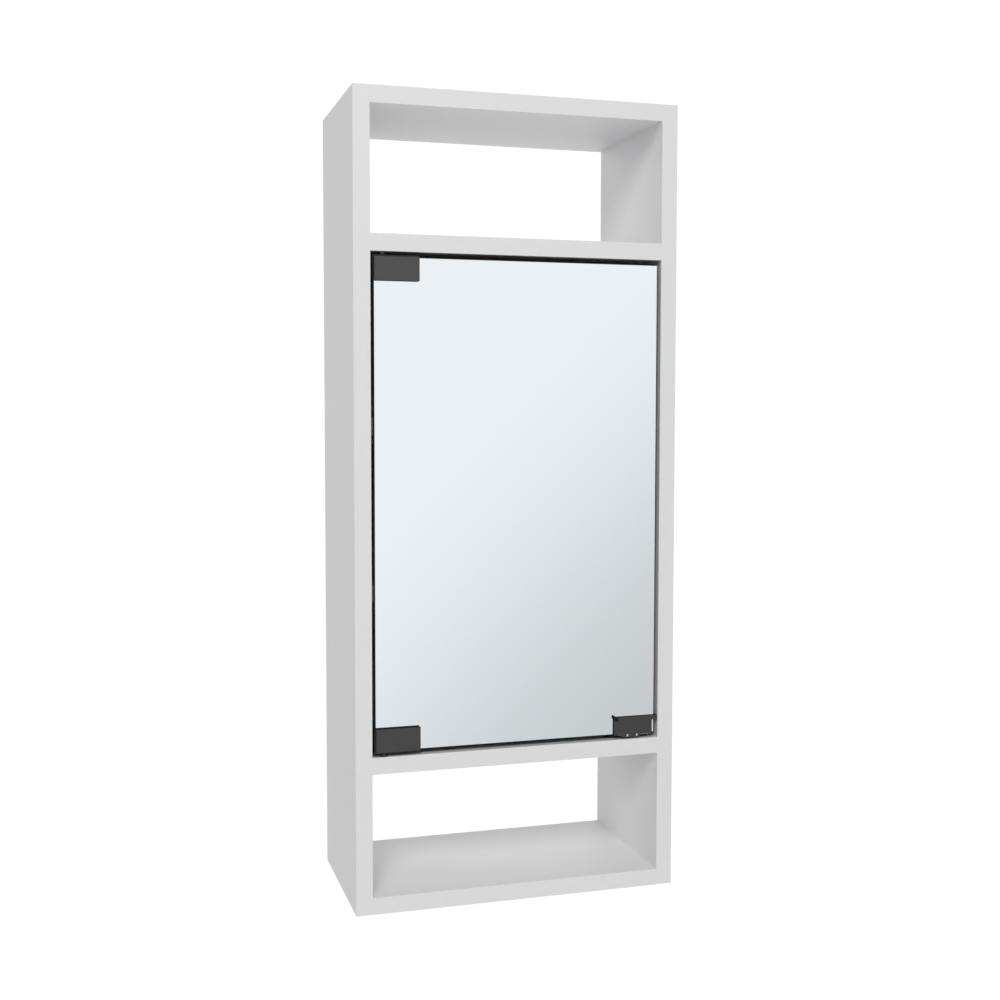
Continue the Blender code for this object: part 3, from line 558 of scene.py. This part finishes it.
MIRROR_MATERIALS = (SILVER, GLASS_EDGE, MIRROR_BACK)
SILVERED, GROUND, PAINTED = range(3)  # their numbers


def across_depth(face, level):
    """Whether a face is square to the cabinet's depth and lies at that level."""
    return abs(face.calc_center_median().y - level) < NEAR and abs(face.normal.y) > SQUARE


def mirror():
    """The mirror: silvered face, ground arrises and edges, painted back."""
    low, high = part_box("mirror_glass")
    form = bmesh.new()
    add_box(form, low, high)
    round_edges(form, list(form.edges), GLASS_ARRIS, 1)
    form.normal_update()
    for face in form.faces:
        if across_depth(face, low.y):
            face.material_index = SILVERED
        elif across_depth(face, high.y):
            face.material_index = PAINTED
        else:
            face.material_index = GROUND
    piece("mirror_plate", form, MIRROR_MATERIALS, "mirror_glass", flat=True)


mirror()

# ---------------------------------------------------------------- fittings

FINISH = {  # by the material slot that a CAD node came with
    "zinc_steel": ZINC,
    "pad_rubber": RUBBER,
    "black_nylon": NYLON,
    "magnet_ferrite": FERRITE,
    "white_board": BACKING,
    "black_metal": BLACK,
}
SMALL_FITTINGS = (  # words in the names of the fittings that keep their shape and get broken edges
    "cam_",
    "shelf_support_",
    "hanger_plate_",
    "strike_plate",
    "_pivot_pin",
    "_pivot_bush",
    "_pad",
)

FACING_FRONT = Euler((math.pi / 2, 0, 0))
FACING_BACK = Euler((-math.pi / 2, 0, 0))
FACING_UP = Euler((0, 0, 0))


def cad_slot(node):
    """The material slot that the CAD node came with."""
    return frame["nodes"][node].data.materials[0].name


def fitting(node, material, width, chamfered=False):
    """A fitting with its CAD shape and its edges broken, by a round or by a chamfer."""
    form = node_form(node)
    edges = [edge for edge in form.edges if is_sharp(edge)]
    round_edges(form, edges, width, segments=1 if chamfered else 2)
    piece(f"{node}_finished", form, (material,), node, flat=chamfered)


def turned_form(profile):
    """A closed turned form about +Z from (radius, height) points; the first is the rim of an open top."""
    form = bmesh.new()
    rings = []
    for radius, height in profile:
        count = SCREW_SIDES if radius > 0 else 1
        angles = [2 * math.pi * i / SCREW_SIDES for i in range(count)]
        rings.append([form.verts.new((radius * math.cos(a), radius * math.sin(a), height)) for a in angles])
    for upper, lower in zip(rings, rings[1:]):
        for i in range(SCREW_SIDES):
            j = (i + 1) % SCREW_SIDES
            if len(lower) == 1:
                form.faces.new((upper[i], lower[0], upper[j]))
            else:
                form.faces.new((upper[i], lower[i], lower[j], upper[j]))
    return form, rings[0]


def cross_outline(half_length, half_width):
    """The twelve corners of a cross recess."""
    a, b = half_length, half_width
    quarter = [(a, -b), (a, b), (b, b)]
    corners = []
    for turn in range(4):
        c, s = round(math.cos(turn * math.pi / 2)), round(math.sin(turn * math.pi / 2))
        corners += [(c * x - s * y, s * x + c * y) for x, y in quarter]
    return corners


def hexagon_outline(radius):
    return [(radius * math.cos(i * math.pi / 3), radius * math.sin(i * math.pi / 3)) for i in range(6)]


def cut_recess(form, rim, outline, depth):
    """Closes an open flat top round a driver recess, whose walls draw in towards its floor."""
    level = rim[0].co.z
    mouth = [form.verts.new((x, y, level)) for x, y in outline]
    floor = [form.verts.new((x * RECESS_DRAFT, y * RECESS_DRAFT, level - depth)) for x, y in outline]
    edges = [form.edges.get((rim[i], rim[(i + 1) % len(rim)])) for i in range(len(rim))]
    count = len(outline)
    edges += [form.edges.new((mouth[i], mouth[(i + 1) % count])) for i in range(count)]
    bmesh.ops.triangle_fill(form, edges=edges, use_beauty=True, normal=(0, 0, 1))
    for i in range(count):
        j = (i + 1) % count
        form.faces.new((mouth[i], mouth[j], floor[j], floor[i]))
    form.faces.new(floor)


def screw_box(node, turn):
    """The middle of the screw's top in its CAD node's box, its radius and its length."""
    low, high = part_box(node)
    facing = Vector((0, 0, 1))
    facing.rotate(turn)
    axis = max(range(3), key=lambda number: abs(facing[number]))
    top = (low + high) / 2
    top[axis] = (high if facing[axis] > 0 else low)[axis]
    return top, (high.x - low.x) / 2, high[axis] - low[axis]


def screw_piece(node, turn, top, profile, outline, depth):
    """A screw with a driver recess; its profile's heights are measured from the middle of its top."""
    form, rim = turned_form(profile)
    cut_recess(form, rim, outline, depth)
    bmesh.ops.transform(form, matrix=Matrix.Translation(top) @ turn.to_matrix().to_4x4(), verts=form.verts)
    piece(f"{node}_recessed", form, (ZINC,), node)


def headed_screw(node, turn, kind):
    """A screw of one of the kinds above, with a cross recess in its head."""
    top, head, length = screw_box(node, turn)
    under_head, shank = -kind["head_height"], kind["shank"]
    profile = [(share * head, height) for share, height in kind["crown"]]
    if not kind["countersunk"]:
        profile.append((head, under_head))
    profile += [(shank, under_head), (shank, kind["point"] - length), (0, -length)]
    half_length, half_width, depth = kind["recess"]
    screw_piece(node, turn, top, profile, cross_outline(half_length, half_width), depth)


def grub_screw(node):
    """A headless screw with a hexagon socket."""
    top, radius, length = screw_box(node, FACING_BACK)
    profile = [(share * radius, height) for share, height in GRUB_TOP]
    profile += [(share * radius, height - length) for share, height in GRUB_FOOT]
    profile.append((0, -length))
    screw_piece(node, FACING_BACK, top, profile, hexagon_outline(GRUB_SOCKET_RADIUS), GRUB_SOCKET_DEPTH)


def screws():
    """The door's two pull screws, the catch's and the hanger plates' wood screws, the clamps' grub screws."""
    for side in ("left", "right"):
        headed_screw(f"pull_screw_{side}", FACING_FRONT, PULL_SCREW)
        headed_screw(f"catch_screw_{side}", FACING_UP, CATCH_SCREW)
        for level in ("upper", "lower"):
            headed_screw(f"hanger_screw_{side}_{level}", FACING_BACK, HANGER_SCREW)
    for end in ("upper", "lower"):
        grub_screw(f"{end}_hinge_grub_screw")


def magnet():
    """The catch's magnet: a ferrite bar between two steel pole plates that stand a little proud."""
    ferrite, steel = range(2)
    low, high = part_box("catch_magnet")
    form = bmesh.new()
    top, bottom = high.z - POLE_PLATE, low.z + POLE_PLATE
    add_box(form, Vector((low.x, low.y, top)), high, steel)
    add_box(form, low, Vector((high.x, high.y, bottom)), steel)
    add_box(form, Vector((low.x, low.y + FERRITE_SETBACK, bottom)), Vector((high.x, high.y, top)), ferrite)
    round_edges(form, list(form.edges), BROKEN_EDGE)
    piece("magnet_with_poles", form, (FERRITE, ZINC), "catch_magnet")


def carry_over():
    """Every CAD node that is still shown gets its finished material, by the slot it came with."""
    for name, node in frame["nodes"].items():
        if not node.hide_render:
            node.data.materials[0] = FINISH[cad_slot(name)]


for end in ("upper", "lower"):
    fitting(f"{end}_hinge_clamp", BLACK, BROKEN_EDGE, chamfered=True)
fitting("pull_plate", BLACK, PLATE_ROUND)
fitting("catch_housing", CATCH_PLASTIC, HOUSING_ROUND)
screws()
magnet()
for name in sorted(frame["nodes"]):
    if any(word in name for word in SMALL_FITTINGS) and "bolt" not in name:
        fitting(name, FINISH[cad_slot(name)], BROKEN_EDGE)
carry_over()

# ---------------------------------------------------------------- floor, light and camera


def floor():
    """A plain pale floor, well below the hanging cabinet."""
    form = bmesh.new()
    bmesh.ops.create_circle(form, cap_ends=True, radius=FLOOR_RADIUS, segments=FLOOR_SIDES)
    mesh = bpy.data.meshes.new("floor")
    form.to_mesh(mesh)
    form.free()
    item = bpy.data.objects.new("floor", mesh)
    item.location.z = cad_box[0].z - FLOOR_DROP
    bpy.context.scene.collection.objects.link(item)
    material, tree, shader = new_material("pale_floor")
    speck = noise(tree, scale=40, detail=3)
    colour = blend_colour(tree, speck, (0.90, 0.90, 0.90), (0.92, 0.92, 0.92))
    tree.links.new(colour, shader.inputs["Base Color"])
    shader.inputs["Roughness"].default_value = 0.9
    shader.inputs["Emission Color"].default_value = (1, 1, 1, 1)
    shader.inputs["Emission Strength"].default_value = FLOOR_GLOW
    mesh.materials.append(material)


def world_shade(tree, sky, direction, span, strengths):
    """The world's strength as it goes, along a direction, from one value to another."""
    along = add_node(tree, "ShaderNodeVectorMath", [(0, sky), (1, direction)], operation="DOT_PRODUCT")
    return remap(tree, along.outputs["Value"], span, strengths, smooth=True)


def studio_world():
    """Soft light from all round: bright in front and behind, dimmer at the sides, overhead and below."""
    world = bpy.data.worlds.new("studio")
    bpy.context.scene.world = world
    world.use_nodes = True
    tree = world.node_tree
    background = tree.nodes["Background"]
    sky = add_node(tree, "ShaderNodeTexCoord").outputs["Generated"]
    light, *others = [world_shade(tree, sky, *shade) for shade in WORLD_SHADES]
    for shade in others:
        light = arithmetic(tree, "MULTIPLY", light, shade)
    light = arithmetic(tree, "MAXIMUM", light, world_shade(tree, sky, *BACKDROP))
    tree.links.new(light, background.inputs["Strength"])
    background.inputs["Color"].default_value = (1, 1, 1, 1)


def soft_light(name, place, size, power):
    """A soft box that lights the cabinet and isn't itself seen."""
    data = bpy.data.lights.new(name, "AREA")
    data.shape = "DISK"
    data.size = size
    data.energy = power
    item = bpy.data.objects.new(name, data)
    item.location = place
    item.rotation_euler = (Vector(LIGHT_AIM) - Vector(place)).to_track_quat("-Z", "Y").to_euler()
    item.visible_camera = False
    bpy.context.scene.collection.objects.link(item)


def camera():
    data = bpy.data.cameras.new("camera")
    data.lens = CAMERA_LENS
    data.sensor_width = CAMERA_SENSOR
    data.shift_x, data.shift_y = CAMERA_SHIFT
    data.clip_start, data.clip_end = CAMERA_CLIP
    item = bpy.data.objects.new("camera", data)
    item.location = CAMERA_PLACE
    item.rotation_euler = (math.radians(90 + CAMERA_PITCH), 0, math.radians(-CAMERA_YAW))
    bpy.context.scene.collection.objects.link(item)
    bpy.context.scene.camera = item


floor()
studio_world()
soft_light("key", KEY_PLACE, KEY_SIZE, KEY_POWER)
soft_light("kicker", KICKER_PLACE, KICKER_SIZE, KICKER_POWER)
camera()
bpy.context.scene.view_settings.view_transform = "Standard"
